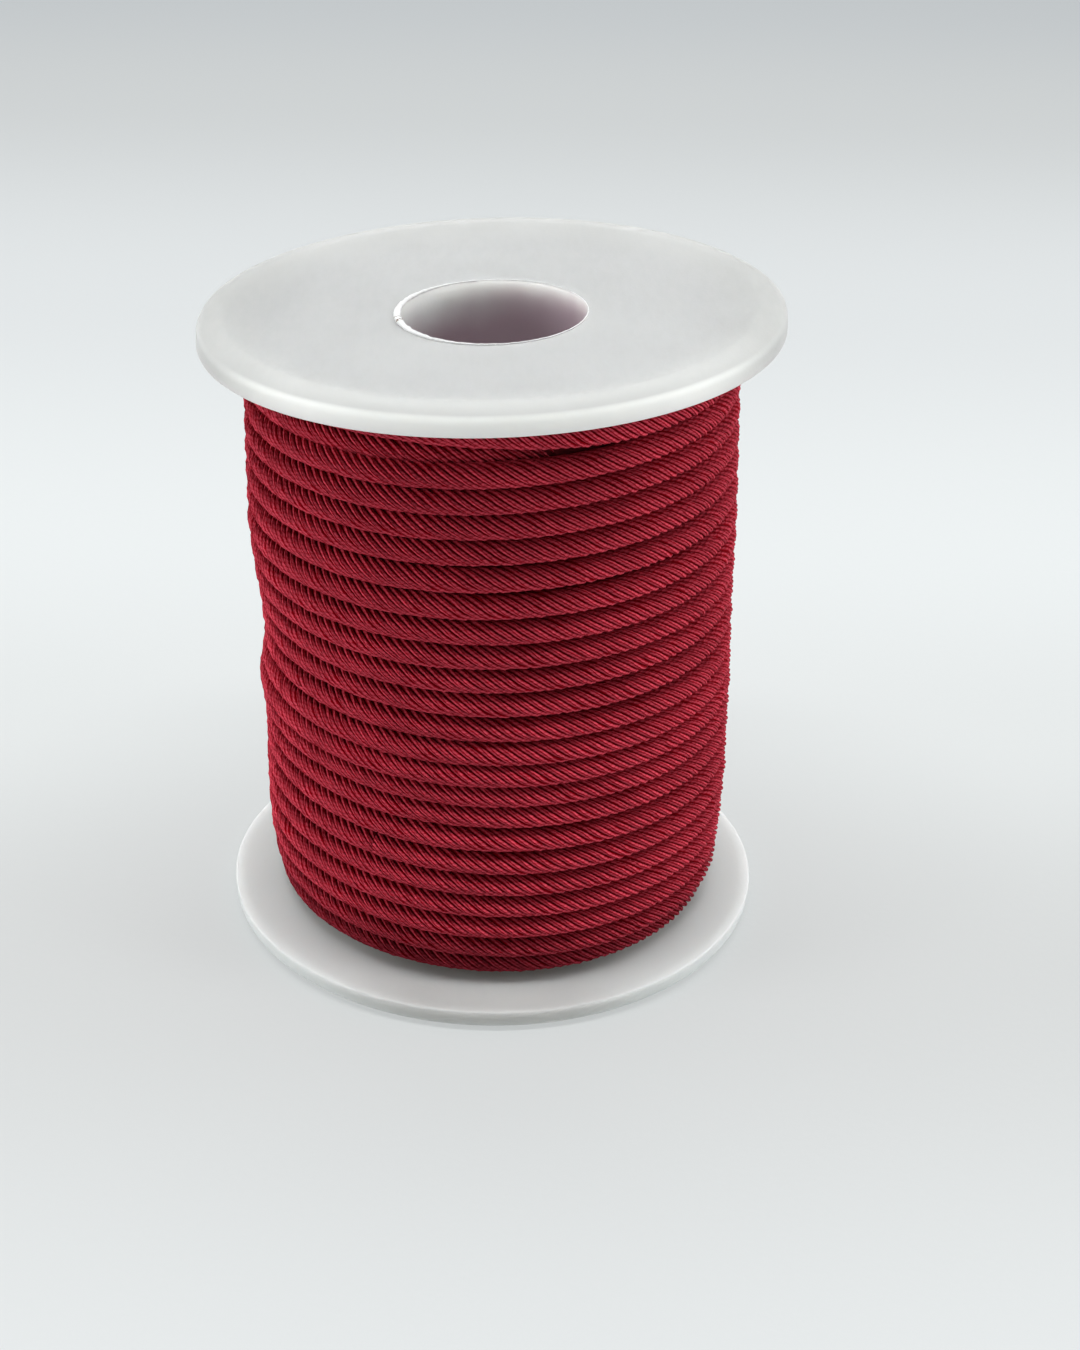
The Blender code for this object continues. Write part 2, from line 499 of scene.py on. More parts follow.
def ply_profile():
    """Round one ply: its share of the ply, side (-1 to 1), furrow (0 to 1), depth."""
    share = np.arange(POINTS_A_PLY) / POINTS_A_PLY
    across = 2.0 * share - 1.0
    furrow = np.abs(across)
    fall = 1.0 - np.sqrt(1.0 - (PLY_ROUNDNESS * across) ** 2)
    depth = PLY_DEPTH * fall / (1.0 - math.sqrt(1.0 - PLY_ROUNDNESS ** 2))
    side = np.where(furrow > SHOULDER, (1.0 - furrow) / (1.0 - SHOULDER), furrow / SHOULDER)
    return share, side * np.sign(across), furrow, depth


def cross_directions(centres):
    """Unit vectors across the cord along its path: away from the axis, and sideways."""
    tangents = np.gradient(centres, axis=0)
    tangents /= np.linalg.norm(tangents, axis=1)[:, None]
    outward = centres * np.array((1.0, 1.0, 0.0))
    outward -= (outward * tangents).sum(1)[:, None] * tangents
    outward /= np.linalg.norm(outward, axis=1)[:, None]
    return outward, np.cross(tangents, outward)


def twisted_surface():
    """Rings of surface points in metres, and what the cord's material reads at each.

    The marks are the side, the furrow and the distance along the cord; the painted
    shade mark is 1 where the upper side of a turn lies in the shadow of the turn above it.
    """
    along, centres = resampled(cord_path(), RING_STEP)
    outward, sideways = cross_directions(centres)
    share, side, furrow, depth = ply_profile()
    plies = np.arange(PLIES)

    twist = 2.0 * np.pi * along / LAY
    twist += TWIST_WANDER * waves(along, TWIST_LENGTHS, SEED + 4)
    around = 2.0 * np.pi * ((plies[:, None] + share[None, :]) / PLIES).ravel()
    angles = around[None, :] + twist[:, None]
    ply_places = along[:, None] + PLY_SWELL_OFFSET * plies[None, :]
    swell = PLY_SWELL * waves(ply_places, PLY_SWELL_LENGTHS, SEED + 5)
    radii = CORD_RADIUS + np.repeat(swell, POINTS_A_PLY, axis=1) - np.tile(depth, PLIES)[None, :]
    radii *= 1.0 + CORD_SWELL * waves(along, CORD_SWELL_LENGTHS, SEED + 6)[:, None]
    points = (
        centres[:, None, :]
        + (radii * np.cos(angles))[:, :, None] * outward[:, None, :]
        + (radii * np.sin(angles))[:, :, None] * sideways[:, None, :]
    )
    points[:, :, 2] += LIP_HEIGHT
    points *= MM

    # Painted shade: marks the upper side of each turn, where the turn above shades it
    painted_turn_shade = smoothstep((-np.sin(angles) - PAINTED_TURN_SHADE_FROM) / (PAINTED_TURN_SHADE_FULL - PAINTED_TURN_SHADE_FROM))
    marks = np.zeros(points.shape, np.float32)
    marks[:, :, 0] = np.tile(side, PLIES)
    marks[:, :, 1] = np.tile(furrow, PLIES)
    marks[:, :, 2] = along[:, None]
    return points, marks, painted_turn_shade.astype(np.float32)


def build_cord():
    """The outer layer of the twisted cord, as a few joined stretches of one sweep."""
    points, marks, painted_turn_shade = twisted_surface()
    columns = PLIES * POINTS_A_PLY
    edges = np.linspace(0, len(points) - 1, CORD_PIECES + 1).astype(int)
    pieces = []
    for number, (start, end) in enumerate(zip(edges, edges[1:])):
        rings = slice(start, end + 1)
        quads = ring_quads(end + 1 - start, columns)
        last = (end - start) * columns
        caps = (np.arange(columns), last + np.arange(columns)[::-1])
        piece = quad_mesh(f"cord_turns_{number + 1}", points[rings].reshape(-1, 3), quads, caps)
        ply = piece.data.attributes.new("ply", "FLOAT_VECTOR", "POINT")
        ply.data.foreach_set("vector", marks[rings].ravel())
        painted_turn_shade_attribute = piece.data.attributes.new("painted_turn_shade", "FLOAT", "POINT")
        painted_turn_shade_attribute.data.foreach_set("value", painted_turn_shade[rings].ravel())
        pieces.append(piece)
    return pieces


def build_under_layer():
    """The next layer down, which shows in the gaps of the outer one as turns darkened with
    painted shade.
    """
    rows = int(TURNS_UP * UNDER_POINTS_A_TURN)
    height_steps = np.linspace(CLEARANCE, INNER_GAP - CLEARANCE, rows)
    angles = np.linspace(0.0, 2.0 * np.pi, UNDER_SEGMENTS, endpoint=False)
    heights, turns = np.meshgrid(height_steps, angles, indexing="ij")
    phase = (heights / PITCH - turns / (2.0 * np.pi)) % 1.0
    groove = 1.0 - np.sqrt(1.0 - UNDER_GROOVE * (2.0 * phase - 1.0) ** 2)
    radii = crest_radius(heights, turns) - UNDER_DEPTH - CORD_RADIUS * groove
    x = radii * np.sin(turns)
    y = -radii * np.cos(turns)
    share = (heights - CLEARANCE) / (INNER_GAP - 2.0 * CLEARANCE)
    centre_x, centre_y = lean_at(heights)
    outer = to_world(centre_x + x, centre_y + y, heights + share * tilt_at(x, y))

    rings = [outer.reshape(-1, 3)]
    x = (BARREL_RADIUS + CLEARANCE) * np.sin(angles)
    y = -(BARREL_RADIUS + CLEARANCE) * np.cos(angles)
    for level, slope in ((INNER_GAP - CLEARANCE, 1.0), (CLEARANCE, 0.0)):
        centre_x, centre_y = lean_at(np.array(level))
        rings.append(to_world(centre_x + x, centre_y + y, level + slope * tilt_at(x, y)))
    quads = ring_quads(rows + 2, UNDER_SEGMENTS, close_rows=True)[:, ::-1]
    return quad_mesh("cord_under_layer", np.concatenate(rings), quads)


# Materials


class Nodes:
    """Short calls that add shader nodes and join them."""

    def __init__(self, name):
        self.material = bpy.data.materials.new(name)
        self.material.use_nodes = True
        self.tree = self.material.node_tree
        self.shader = self.tree.nodes["Principled BSDF"]

    def link(self, source, target):
        """Join an output to an input, or write a plain value into it."""
        if isinstance(source, bpy.types.NodeSocket):
            self.tree.links.new(source, target)
        else:
            target.default_value = source

    def maths(self, operation, first, second=0.0, third=0.0, clamp=False):
        """One Math node."""
        node = self.tree.nodes.new("ShaderNodeMath")
        node.operation = operation
        node.use_clamp = clamp
        for value, socket in zip((first, second, third), node.inputs):
            self.link(value, socket)
        return node.outputs[0]

    def attribute(self, name):
        """The vector of a mesh attribute, and its three parts."""
        node = self.tree.nodes.new("ShaderNodeAttribute")
        node.attribute_name = name
        parts = self.tree.nodes.new("ShaderNodeSeparateXYZ")
        self.link(node.outputs["Vector"], parts.inputs[0])
        return node.outputs["Vector"], parts.outputs

    def value(self, name):
        """A single value of a mesh attribute."""
        node = self.tree.nodes.new("ShaderNodeAttribute")
        node.attribute_name = name
        return node.outputs["Fac"]

    def position(self):
        """Object coordinates and their three parts, in metres."""
        node = self.tree.nodes.new("ShaderNodeTexCoord")
        parts = self.tree.nodes.new("ShaderNodeSeparateXYZ")
        self.link(node.outputs["Object"], parts.inputs[0])
        return node.outputs["Object"], parts.outputs

    def vector_maths(self, operation, first, second):
        """One Vector Math node."""
        node = self.tree.nodes.new("ShaderNodeVectorMath")
        node.operation = operation
        self.link(first, node.inputs[0])
        self.link(second, node.inputs[1])
        return node.outputs[0]

    def scaled(self, colour, factor):
        """A colour times a factor."""
        node = self.tree.nodes.new("ShaderNodeVectorMath")
        node.operation = "SCALE"
        self.link(colour, node.inputs[0])
        self.link(factor, node.inputs["Scale"])
        return node.outputs[0]

    def distance(self, first, second):
        """How far apart two points are."""
        node = self.tree.nodes.new("ShaderNodeVectorMath")
        node.operation = "DISTANCE"
        self.link(first, node.inputs[0])
        self.link(second, node.inputs[1])
        return node.outputs["Value"]

    def noise(self, vector, scale, detail=2.0, roughness=0.5):
        """The value of a Noise texture."""
        node = self.tree.nodes.new("ShaderNodeTexNoise")
        self.link(vector, node.inputs["Vector"])
        node.inputs["Scale"].default_value = scale
        node.inputs["Detail"].default_value = detail
        node.inputs["Roughness"].default_value = roughness
        return node.outputs["Fac"]

    def mix(self, share, first, second):
        """A colour mix."""
        node = self.tree.nodes.new("ShaderNodeMix")
        node.data_type = "RGBA"
        self.link(share, node.inputs["Factor"])
        self.link(first, node.inputs["A"])
        self.link(second, node.inputs["B"])
        return node.outputs["Result"]

    def span(self, value, low, high, to_low=0.0, to_high=1.0):
        """Map a value from one range to another, clamped and eased."""
        node = self.tree.nodes.new("ShaderNodeMapRange")
        node.interpolation_type = "SMOOTHSTEP"
        for number, source in enumerate((value, low, high, to_low, to_high)):
            self.link(source, node.inputs[number])
        return node.outputs[0]

    def ramp(self, share, stops):
        """A smooth colour ramp through stops of a place from 0 to 1 and a colour."""
        node = self.tree.nodes.new("ShaderNodeValToRGB")
        node.color_ramp.interpolation = "EASE"
        elements = node.color_ramp.elements
        for element, (place, colour) in zip(list(elements), (stops[0], stops[-1])):
            element.position = place
            element.color = (*colour, 1.0)
        for place, colour in stops[1:-1]:
            elements.new(place).color = (*colour, 1.0)
        self.link(share, node.inputs[0])
        return node.outputs["Color"]

    def bump(self, height, distance, strength=1.0, under=None):
        """A Bump node's normal."""
        node = self.tree.nodes.new("ShaderNodeBump")
        node.inputs["Strength"].default_value = strength
        node.inputs["Distance"].default_value = distance
        self.link(height, node.inputs["Height"])
        if under is not None:
            self.link(under, node.inputs["Normal"])
        return node.outputs[0]

    def finish(self, colour, roughness, normal=None, **settings):
        """Join the results to the shader and set its plain sockets."""
        self.link(colour, self.shader.inputs["Base Color"])
        self.link(roughness, self.shader.inputs["Roughness"])
        if normal is not None:
            self.link(normal, self.shader.inputs["Normal"])
        for name, value in settings.items():
            self.shader.inputs[name.replace("_", " ")].default_value = value
        return self.material


# Reds of a ply's yarns, the cord's own red with a painted sheen, of its flanks and furrows
# darkened with painted shade, and of the upper side of a turn in painted shade under the turn
# above
CREST_RED_PAINTED_SHEEN = (0.69, 0.070, 0.108, 1.0)
FLANK_RED_PAINTED_SHADE = (0.37, 0.0005, 0.009, 1.0)
FURROW_RED_PAINTED_SHADE = (0.19, 0.0003, 0.003, 1.0)
PAINTED_TURN_SHADE_RED = (0.16, 0.0006, 0.005, 1.0)
PAINTED_TURN_SHADE_SHARE = 0.45
CORD_SHEEN = (1.0, 0.24, 0.32, 1.0)

# Two yarns lie on every ply: their place and half width and how far they wander, in
# half plies, and the length in millimetres, slant and depth of the beads of their twist
YARN_PLACE = 0.45
YARN_REACH = 0.50
YARN_WANDER = 0.6
BEAD_LENGTH = 0.46
BEAD_SLANT = 1.1
BEAD_WANDER = 1.5
BEAD_DEPTH = 0.4

# Where a yarn's painted crest sheen gives way to the flank's painted shade, where the furrow's
# painted shade begins and ends, and how broken it is
PAINTED_CREST_SHEEN_SPAN = (0.85, 0.30)
FURROW_PAINTED_SHADE_SPAN = (0.60, 0.95)
FURROW_PAINTED_SHADE_BROKEN = (0.75, 1.0)

# Tones of the fibres and of slow changes along the cord, and its roughness
FIBRE_TONE = (0.80, 1.22)
SLOW_TONE = (0.93, 1.07)
CORD_ROUGHNESS = (0.55, 0.75)

# How finely fibres divide a ply's side, furrow and length, and their drift in space
FIBRE_STRETCH = (7.0, 7.0, 0.9)
FIBRE_DRIFT = (500.0, 500.0, 500.0)

# The lowest turns are darker with painted shade: heights in metres of full and of no painted
# shade, and the shade
FOOT_PAINTED_SHADE_FULL = 4.0 * MM
FOOT_PAINTED_SHADE_NONE = 12.0 * MM
FOOT_PAINTED_SHADE = 0.5

# Relief of the yarns and of the fibres in metres
YARN_RELIEF = 0.00020
FIBRE_RELIEF = 0.00006

# The cord deep in the gaps, darkened with painted shade: its darkest and lightest red, and its
# relief in metres
SHADE_DARK_RED = (0.06, 0.001, 0.003, 1.0)
SHADE_LIGHT_RED = (0.16, 0.006, 0.012, 1.0)
SHADE_RELIEF = 0.0002


def place_across(nodes, side, furrow):
    """Where a point lies across its ply, -1 to 1, from its side and furrow marks."""
    inner = nodes.maths("MULTIPLY", side, SHOULDER)
    from_edge = nodes.maths("MULTIPLY", side, 1.0 - SHOULDER)
    outer = nodes.maths("SUBTRACT", nodes.maths("SIGN", side), from_edge)
    beyond = nodes.maths("SUBTRACT", outer, inner)
    on_flank = nodes.maths("GREATER_THAN", furrow, SHOULDER)
    return nodes.maths("MULTIPLY_ADD", beyond, on_flank, inner)


def beaded_yarns(nodes, place, across, along):
    """1 on the crests of the two yarns of each ply, with the small beads of their twist."""
    uneven = nodes.noise(place, scale=420.0, detail=1.0)
    wander = nodes.maths("MULTIPLY_ADD", uneven, 2.0 * YARN_WANDER, -YARN_WANDER)
    lane = nodes.maths("ABSOLUTE", nodes.maths("ADD", across, wander))
    off_yarn = nodes.maths("DIVIDE", nodes.maths("SUBTRACT", lane, YARN_PLACE), YARN_REACH)
    square = nodes.maths("MULTIPLY", off_yarn, off_yarn)
    yarn = nodes.maths("SUBTRACT", 1.0, square, clamp=True)
    slant = nodes.maths("MULTIPLY", across, BEAD_SLANT)
    turn = nodes.maths("MULTIPLY_ADD", along, 1.0 / BEAD_LENGTH, slant)
    turn = nodes.maths("MULTIPLY_ADD", wander, BEAD_WANDER, turn)
    bead = nodes.maths("ABSOLUTE", nodes.maths("SINE", nodes.maths("MULTIPLY", turn, math.pi)))
    bead = nodes.maths("MULTIPLY_ADD", bead, BEAD_DEPTH, 1.0 - BEAD_DEPTH)
    return nodes.maths("MULTIPLY", yarn, bead)


def cord_material():
    """Tightly twisted satin thread: paired yarns on each ply with a painted sheen on their
    crests, deep red furrows of painted shade, fine fibres.
    """
    nodes = Nodes("red_twisted_cord")
    ply, (side, furrow, along) = nodes.attribute("ply")
    place, (_, _, height) = nodes.position()
    across = place_across(nodes, side, furrow)
    yarn = beaded_yarns(nodes, place, across, along)
    drift = nodes.vector_maths("MULTIPLY", place, FIBRE_DRIFT)
    stretched = nodes.vector_maths("MULTIPLY", ply, FIBRE_STRETCH)
    fibre_place = nodes.vector_maths("ADD", stretched, drift)
    fibres = nodes.noise(fibre_place, scale=1.0, detail=3.0, roughness=0.6)

    # Painted sheen on the yarns' crests and painted shade on their flanks
    colour = nodes.mix(nodes.span(yarn, *PAINTED_CREST_SHEEN_SPAN), CREST_RED_PAINTED_SHEEN, FLANK_RED_PAINTED_SHADE)
    patches = nodes.noise(place, scale=900.0, detail=1.0)
    # Painted shade in the furrows between the plies, broken in patches
    broken = nodes.span(patches, 0.35, 0.6, *FURROW_PAINTED_SHADE_BROKEN)
    furrow_painted_shade = nodes.maths("MULTIPLY", nodes.span(furrow, *FURROW_PAINTED_SHADE_SPAN), broken)
    colour = nodes.mix(furrow_painted_shade, colour, FURROW_RED_PAINTED_SHADE)
    # Painted shade darkens the upper side of each turn under the turn above
    painted_turn_shade = nodes.maths("MULTIPLY", nodes.value("painted_turn_shade"), PAINTED_TURN_SHADE_SHARE)
    colour = nodes.mix(painted_turn_shade, colour, PAINTED_TURN_SHADE_RED)

    slow = nodes.noise(place, scale=160.0, detail=3.0)
    worn = nodes.span(fibres, 0.30, 0.75, *FIBRE_TONE)
    worn = nodes.maths("MULTIPLY", worn, nodes.span(slow, 0.3, 0.7, *SLOW_TONE))
    # Painted shade: the lowest turns, near the lower flange, are darkened in the colour
    painted_foot_shading = nodes.span(height, FOOT_PAINTED_SHADE_FULL, FOOT_PAINTED_SHADE_NONE, FOOT_PAINTED_SHADE, 1.0)
    colour = nodes.scaled(colour, nodes.maths("MULTIPLY", worn, painted_foot_shading))

    normal = nodes.bump(yarn, YARN_RELIEF)
    normal = nodes.bump(fibres, FIBRE_RELIEF, strength=0.9, under=normal)
    roughness = nodes.span(fibres, 0.2, 0.8, *CORD_ROUGHNESS)
    return nodes.finish(
        colour, roughness, normal,
        Specular_IOR_Level=0.02,
        Sheen_Weight=0.04, Sheen_Roughness=0.4, Sheen_Tint=CORD_SHEEN,
    )


def under_material():
    """The same thread deep in the gaps, its colour darkened with painted shade."""
    nodes = Nodes("red_cord_in_shade")
    place, _ = nodes.position()
    grain = nodes.noise(place, scale=1800.0, detail=3.0)
    # Painted shade: the thread in the gaps is given a dark red
    colour = nodes.mix(grain, SHADE_DARK_RED, SHADE_LIGHT_RED)
    return nodes.finish(colour, 0.85, nodes.bump(grain, SHADE_RELIEF), Specular_IOR_Level=0.2)


# Whites of the plastic: the web, the part over the cord in painted shade, the front of the upper
# rim in painted light and the lower flange's sides in painted light. Then the bore, pale at its
# mouth and mauve deep inside with painted shade and painted red light from the cord
PLASTIC_LIGHT = (0.470, 0.481, 0.473, 1.0)
PLASTIC_OVER_CORD_PAINTED_SHADE = (0.440, 0.450, 0.447, 1.0)
PLASTIC_EDGE_PAINTED_LIGHT = (0.75, 0.77, 0.745, 1.0)
PLASTIC_FOOT_PAINTED_LIGHT = (0.60, 0.635, 0.63, 1.0)
BORE_PALE = (0.80, 0.83, 0.79, 1.0)
BORE_PAINTED_SHADE_MAUVE = (0.46, 0.36, 0.40, 1.0)

# Where these whites begin and end, in metres: by radius, then how far to the front,
# how high and how far to the side, and how deep in the bore
OVER_CORD_PAINTED_SHADE_SPAN = (25.0 * MM, 31.0 * MM)
EDGE_PAINTED_LIGHT_SPAN = (32.9 * MM, 33.35 * MM)
BORE_SPAN = (10.94 * MM, 11.10 * MM)
FRONT_PAINTED_LIGHT_SPAN = (-14.0 * MM, -30.0 * MM)
UPPER_SPAN = (30.0 * MM, 50.0 * MM)
FOOT_PAINTED_LIGHT_SPAN = (6.0 * MM, 27.0 * MM)
BORE_PAINTED_SHADE_SPAN = (80.5 * MM, 74.0 * MM)

# The plastic's tone in soft clouds, with painted light from back to front and painted shade from
# the middle to the sides
CLOUD_TONE = (0.97, 1.02)
FRONT_PAINTED_LIGHT_TONE_SPAN = (4.0 * MM, -26.0 * MM)
FRONT_PAINTED_LIGHT_TONE = (0.97, 1.01)
SIDE_PAINTED_SHADE_TONE_SPAN = (20.0 * MM, 32.0 * MM)
SIDE_PAINTED_SHADE_TONE = (1.0, 0.88)
PLASTIC_ROUGHNESS = (0.48, 0.62)

# Painted shade: the lower flange's tone against the upper one's, and its share of the painted
# light on the white edge
LOWER_PAINTED_SHADE_TONE = 0.93
LOWER_PAINTED_EDGE_LIGHT = 0.15

# How far the bore's painted shade wavers in height, and how it falls to the left
BORE_PAINTED_SHADE_WAVER = 5.0 * MM
BORE_PAINTED_SHADE_SLANT = -0.25

# Scuffs run from front to back; relief and how deep light goes in are in metres
SCUFF_STRETCH = (900.0, 260.0, 900.0)
PLASTIC_RELIEF = 0.00006
PLASTIC_DEPTH = 0.005
PLASTIC_DEPTH_COLOUR = (1.0, 0.96, 0.92)


def axis_radius(nodes, x, y, z):
    """The distance from the leaning axis of the spool, in metres."""
    lean = nodes.maths("MULTIPLY_ADD", z, 1.0 / (INNER_GAP * MM), -LIP_HEIGHT / INNER_GAP - 0.5)
    from_x = nodes.maths("MULTIPLY_ADD", lean, -LEAN_X * MM, x)
    from_y = nodes.maths("MULTIPLY_ADD", lean, -LEAN_Y * MM, y)
    square = nodes.maths("MULTIPLY", from_x, from_x)
    return nodes.maths("SQRT", nodes.maths("MULTIPLY_ADD", from_y, from_y, square))


def flange_colour(nodes, place, parts, radius):
    """The moulded faces, with painted light and shade: whitest at the front of the upper rim,
    paler at the foot's sides, lighter to the front, darker at the sides, on the lower flange and
    over the cord.
    """
    x, y, z = parts
    aside = nodes.maths("ABSOLUTE", x)
    upper = nodes.span(z, *UPPER_SPAN)
    # Painted shade: the plastic over the cord is darkened in the colour
    over_cord_painted_shade = nodes.span(radius, *OVER_CORD_PAINTED_SHADE_SPAN, 1.0, 0.0)
    colour = nodes.mix(over_cord_painted_shade, PLASTIC_LIGHT, PLASTIC_OVER_CORD_PAINTED_SHADE)
    # Painted light: the front of the rim is whitened in the colour
    painted_edge_light = nodes.maths("MULTIPLY", nodes.span(radius, *EDGE_PAINTED_LIGHT_SPAN), nodes.span(y, *FRONT_PAINTED_LIGHT_SPAN))
    painted_edge_light_share = nodes.maths("MULTIPLY_ADD", upper, 1.0 - LOWER_PAINTED_EDGE_LIGHT, LOWER_PAINTED_EDGE_LIGHT)
    colour = nodes.mix(nodes.maths("MULTIPLY", painted_edge_light, painted_edge_light_share), colour, PLASTIC_EDGE_PAINTED_LIGHT)

    cloud = nodes.noise(place, scale=70.0, detail=3.0)
    tone_and_painted_light = nodes.span(cloud, 0.3, 0.7, *CLOUD_TONE)
    # Painted light and shade: lighter to the front, darker at the sides and on the lower flange
    tone_and_painted_light = nodes.maths("MULTIPLY", tone_and_painted_light, nodes.span(y, *FRONT_PAINTED_LIGHT_TONE_SPAN, *FRONT_PAINTED_LIGHT_TONE))
    tone_and_painted_light = nodes.maths("MULTIPLY", tone_and_painted_light, nodes.span(aside, *SIDE_PAINTED_SHADE_TONE_SPAN, *SIDE_PAINTED_SHADE_TONE))
    level_painted_shade = nodes.maths("MULTIPLY_ADD", upper, 1.0 - LOWER_PAINTED_SHADE_TONE, LOWER_PAINTED_SHADE_TONE)
    colour = nodes.scaled(colour, nodes.maths("MULTIPLY", tone_and_painted_light, level_painted_shade))
    lower = nodes.maths("SUBTRACT", 1.0, upper)
    # Painted light: the lower flange's sides are made paler in the colour
    painted_foot_shading = nodes.maths("MULTIPLY", nodes.span(aside, *FOOT_PAINTED_LIGHT_SPAN), lower)
    return nodes.mix(painted_foot_shading, colour, PLASTIC_FOOT_PAINTED_LIGHT)


def bore_colour(nodes, place, parts):
    """The inside of the bore, pale at its mouth and darkened and tinted by the cord further
    down, as painted shade and painted red light.
    """
    x, _, z = parts
    # Painted shade and painted red light from the cord, deeper in the bore
    painted_bore_shade_level = nodes.maths("MULTIPLY_ADD", nodes.noise(place, scale=110.0), BORE_PAINTED_SHADE_WAVER, z)
    painted_bore_shade_level = nodes.maths("MULTIPLY_ADD", x, BORE_PAINTED_SHADE_SLANT, painted_bore_shade_level)
    return nodes.mix(nodes.span(painted_bore_shade_level, *BORE_PAINTED_SHADE_SPAN), BORE_PALE, BORE_PAINTED_SHADE_MAUVE)


def plastic_material():
    """White moulded plastic, a little translucent: the cord behind it dims and tints it, painted
    into the colour as shade and red light.
    """
    nodes = Nodes("white_moulded_plastic")
    place, parts = nodes.position()
    radius = axis_radius(nodes, *parts)
    in_bore = nodes.span(radius, *BORE_SPAN, 1.0, 0.0)
    faces = flange_colour(nodes, place, parts, radius)
    colour = nodes.mix(in_bore, faces, bore_colour(nodes, place, parts))

    scuff_place = nodes.vector_maths("MULTIPLY", place, SCUFF_STRETCH)
    scuffs = nodes.noise(scuff_place, scale=1.0, detail=4.0, roughness=0.65)
    grain = nodes.noise(place, scale=2600.0)
    relief = nodes.maths("MULTIPLY_ADD", scuffs, 0.5, nodes.maths("MULTIPLY", grain, 0.25))
    normal = nodes.bump(relief, PLASTIC_RELIEF, strength=0.6)
    roughness = nodes.span(scuffs, 0.35, 0.75, *PLASTIC_ROUGHNESS)
    return nodes.finish(
        colour, roughness, normal,
        Specular_IOR_Level=0.4, Subsurface_Weight=1.0,
        Subsurface_Scale=PLASTIC_DEPTH, Subsurface_Radius=PLASTIC_DEPTH_COLOUR,
    )


# The cut plastic's whites, from torn hollows to its crests, and its relief in metres
CUT_DULL = (0.62, 0.63, 0.63, 1.0)
CUT_WHITE = (0.86, 0.87, 0.86, 1.0)
CUT_RELIEF = 0.00025

# Dirt caught in the burr: its place and reach in metres, and its colour
DIRT_PLACE = (-0.0112, -0.0030, 0.0768)
DIRT_REACH = 0.0012
DIRT_BROWN = (0.16, 0.10, 0.07, 1.0)


def burr_material():
    """Freshly cut plastic: whiter and rougher than the moulded face, with a few dirt specks."""
    nodes = Nodes("cut_plastic_edge")
    place, _ = nodes.position()
    torn = nodes.noise(place, scale=1500.0, detail=4.0, roughness=0.7)
    colour = nodes.mix(torn, CUT_DULL, CUT_WHITE)
    away = nodes.distance(place, DIRT_PLACE)
    near = nodes.span(away, 0.5 * DIRT_REACH, DIRT_REACH, 1.0, 0.0)
    speck = nodes.span(nodes.noise(place, scale=2600.0, detail=1.0), 0.52, 0.60)
    colour = nodes.mix(nodes.maths("MULTIPLY", near, speck), colour, DIRT_BROWN)
    return nodes.finish(colour, 0.6, nodes.bump(torn, CUT_RELIEF), Specular_IOR_Level=0.4)


# The floor's glow from front to back, painted light that is brightest behind the object:
# distance behind the object in metres, colour
FLOOR_PAINTED_GLOW = (
    (-0.10, 0.57, 0.595, 0.60),
    (-0.02, 0.458, 0.474, 0.473),
    (0.04, 0.55, 0.575, 0.575),
    (0.11, 0.60, 0.63, 0.635),
    (0.25, 0.535, 0.56, 0.57),
    (0.48, 0.445, 0.465, 0.47),
    (0.70, 0.42, 0.445, 0.46),
)
FLOOR_PAPER = (0.18, 0.185, 0.185, 1.0)
FLOOR_FLECK = (0.175, 0.18, 0.18, 1.0)
FLOOR_RELIEF = 0.00003


def floor_material():
    """A white floor of pale paper that glows with painted light, brightest behind the object."""
    nodes = Nodes("glowing_floor_painted_light")
    place, (_, y, _) = nodes.position()
    front, back = FLOOR_PAINTED_GLOW[0][0], FLOOR_PAINTED_GLOW[-1][0]
    share = nodes.maths("DIVIDE", nodes.maths("SUBTRACT", y, front), back - front)
    stops = [((distance - front) / (back - front), colour) for distance, *colour in FLOOR_PAINTED_GLOW]
    # Painted light: the floor glows, brightest behind the object
    nodes.link(nodes.ramp(share, stops), nodes.shader.inputs["Emission Color"])
    fibre = nodes.noise(place, scale=900.0)
    paper = nodes.mix(fibre, FLOOR_PAPER, FLOOR_FLECK)
    normal = nodes.bump(fibre, FLOOR_RELIEF)
    return nodes.finish(paper, 0.8, normal, Specular_IOR_Level=0.0, Emission_Strength=1.0)


# Studio

# Half the floor's width in metres
FLOOR_REACH = 12.0

# Soft panels of the light tent, aimed at the object's middle: name, place, width and
# height in metres, and watts
LIGHT_TARGET = (0.0, 0.0, 0.04)
PANELS = (
    ("left_panel", (-0.60, 0.0, 0.20), 0.6, 0.30, 2.7),
    ("right_panel", (0.60, 0.0, 0.20), 0.6, 0.30, 2.7),
    ("front_panel", (0.0, -0.80, 0.25), 0.8, 0.30, 0.08),
    ("front_top_panel", (0.0, -0.14, 0.75), 0.7, 0.09, 4.75),
    ("back_top_panel", (0.0, 0.35, 0.75), 0.8, 0.30, 1.5),
    ("far_panel", (0.0, 0.85, 0.90), 1.2, 0.50, 4.0),
)
SURROUNDINGS = (0.93, 0.96, 1.0, 1.0)
SURROUNDINGS_STRENGTH = 0.06


def build_floor():
    """A wide plain floor under the lower rim."""
    signs = ((-1.0, -1.0), (1.0, -1.0), (1.0, 1.0), (-1.0, 1.0))
    corners = [(FLOOR_REACH * x, FLOOR_REACH * y, 0.0) for x, y in signs]
    return quad_mesh("floor", corners, np.array([(0, 1, 2, 3)]))


def area_light(name, place, width, height, power):
    """A soft rectangular light aimed at the object's middle."""
    lamp = bpy.data.lights.new(name, "AREA")
    lamp.shape = "RECTANGLE"
    lamp.size = width
    lamp.size_y = height
    lamp.energy = power
    item = bpy.data.objects.new(name, lamp)
    item.location = place
    aim = Vector(LIGHT_TARGET) - Vector(place)
    item.rotation_euler = aim.to_track_quat("-Z", "Y").to_euler()
    bpy.context.scene.collection.objects.link(item)


